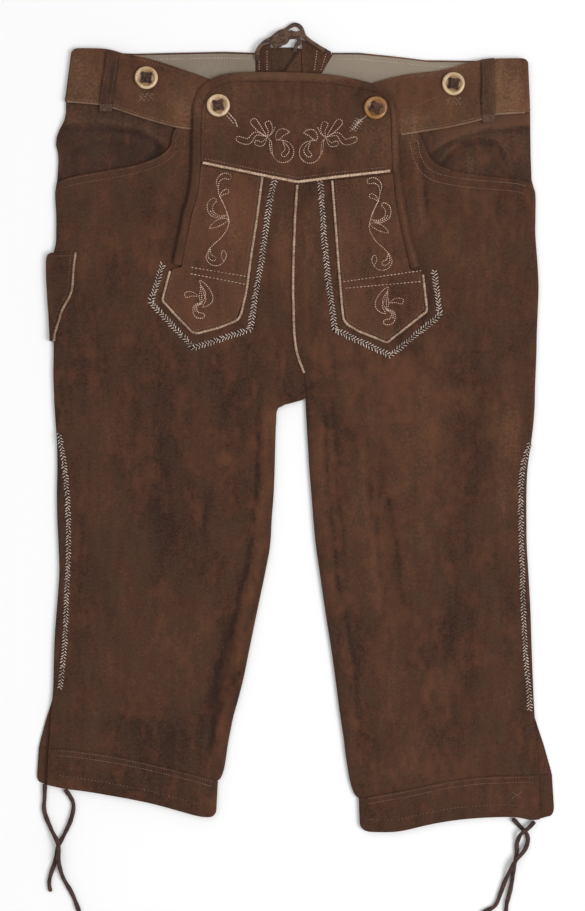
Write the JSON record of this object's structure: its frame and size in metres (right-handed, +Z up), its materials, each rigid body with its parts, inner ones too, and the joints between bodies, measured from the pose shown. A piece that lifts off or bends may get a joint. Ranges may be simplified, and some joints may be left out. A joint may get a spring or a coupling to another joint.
{
  "type": "pair of lederhosen",
  "caption": "Knee-length suede lederhosen with a buttoned drop front, embroidered strips, knife pocket and laced knee cuffs, laid flat.",
  "frame": {"origin": "centre of the garment's outline, on the surface it lies on", "axes": "+Y up the garment to the waist, +X to the wearer's left, +Z up out of the front"},
  "size_m": [0.519, 0.8986, 0.0124],
  "materials": {
    "suede": "dark brown mottled suede",
    "suede_dark": "darkest brown suede",
    "suede_tan": "worn tan brown suede",
    "piping": "light beige leather piping",
    "twill": "grey beige cotton twill",
    "thread": "light beige sewing thread",
    "horn_cream": "polished horn look, cream",
    "horn_amber": "polished horn look, amber",
    "thong": "dark brown leather lace"
  },
  "bodies": {
    "root": {"front_right": "suede", "front_left": "suede", "back_right": "suede", "back_left": "suede", "bib": "suede", "flap_strip_right": "suede_tan", "flap_strip_left": "suede", "flap_binding": "suede", "piping_yoke": "piping", "piping_centre": "piping", "piping_strip_right": "piping", "piping_strip_left": "piping", "piping_knife": "piping", "underlap_right": "suede", "underlap_left": "suede", "pocket_facing_right": "suede_dark", "pocket_facing_left": "suede_dark", "band_front_right": "suede_tan", "band_front_left": "suede_tan", "band_back_right": "suede_tan", "band_back_left": "suede_tan", "lining_right": "twill", "lining_left": "twill", "gusset": "suede_dark", "notch_facing_right": "suede", "notch_facing_left": "suede", "belt_loop_right": "suede_dark", "belt_loop_left": "suede_dark", "cuff_right": "suede", "cuff_left": "suede", "knife_pocket": "suede", "button_band_right": "horn_cream", "button_band_left": "horn_cream", "button_flap_right": "horn_cream", "button_flap_left": "horn_amber", "thong_band_right": "thong", "thong_band_left": "thong", "thong_flap_right": "thong", "thong_flap_left": "thong", "back_lace": "thong", "back_lace_loop": "thong", "tie_right_outer": "thong", "tie_right_inner": "thong", "tie_left_outer": "thong", "tie_left_inner": "thong"}
  },
  "joints": []
}
